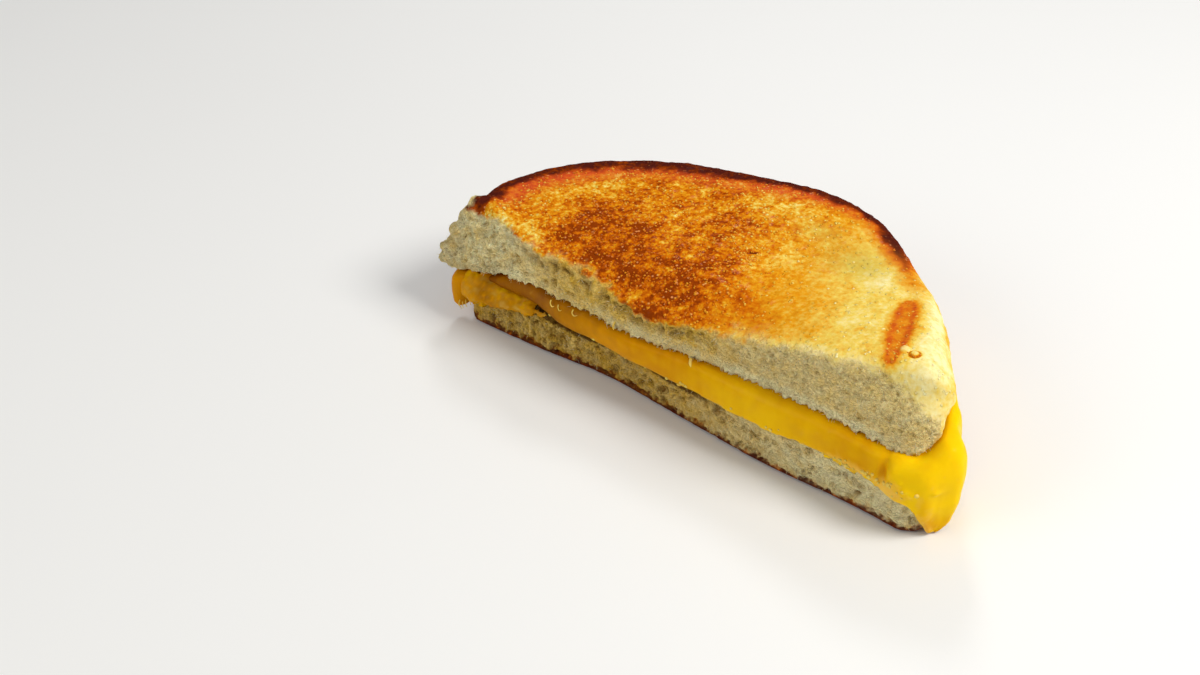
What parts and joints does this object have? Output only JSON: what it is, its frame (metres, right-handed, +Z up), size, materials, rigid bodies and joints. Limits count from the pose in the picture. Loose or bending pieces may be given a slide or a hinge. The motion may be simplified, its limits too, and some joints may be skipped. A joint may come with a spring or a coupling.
{
  "type": "grilled cheese sandwich half",
  "caption": "Half of a grilled cheese sandwich, cut straight across, with melted cheese running out between pan-browned slices of bread.",
  "frame": {"origin": "below the middle of the bounding box, on the surface the sandwich lies on", "axes": "+X along the cut towards the puffed end with the long drip, -Y out of the cut face, +Z up through the layers"},
  "size_m": [0.1362, 0.0602, 0.0347],
  "materials": {
    "bread": "pan-browned and a little oily outside, open pale crumb at the cut",
    "cheese": "glossy, melted and slightly translucent"
  },
  "bodies": {
    "root": {"bread_top": "bread", "cheese": "cheese", "bread_bottom": "bread"}
  },
  "joints": []
}
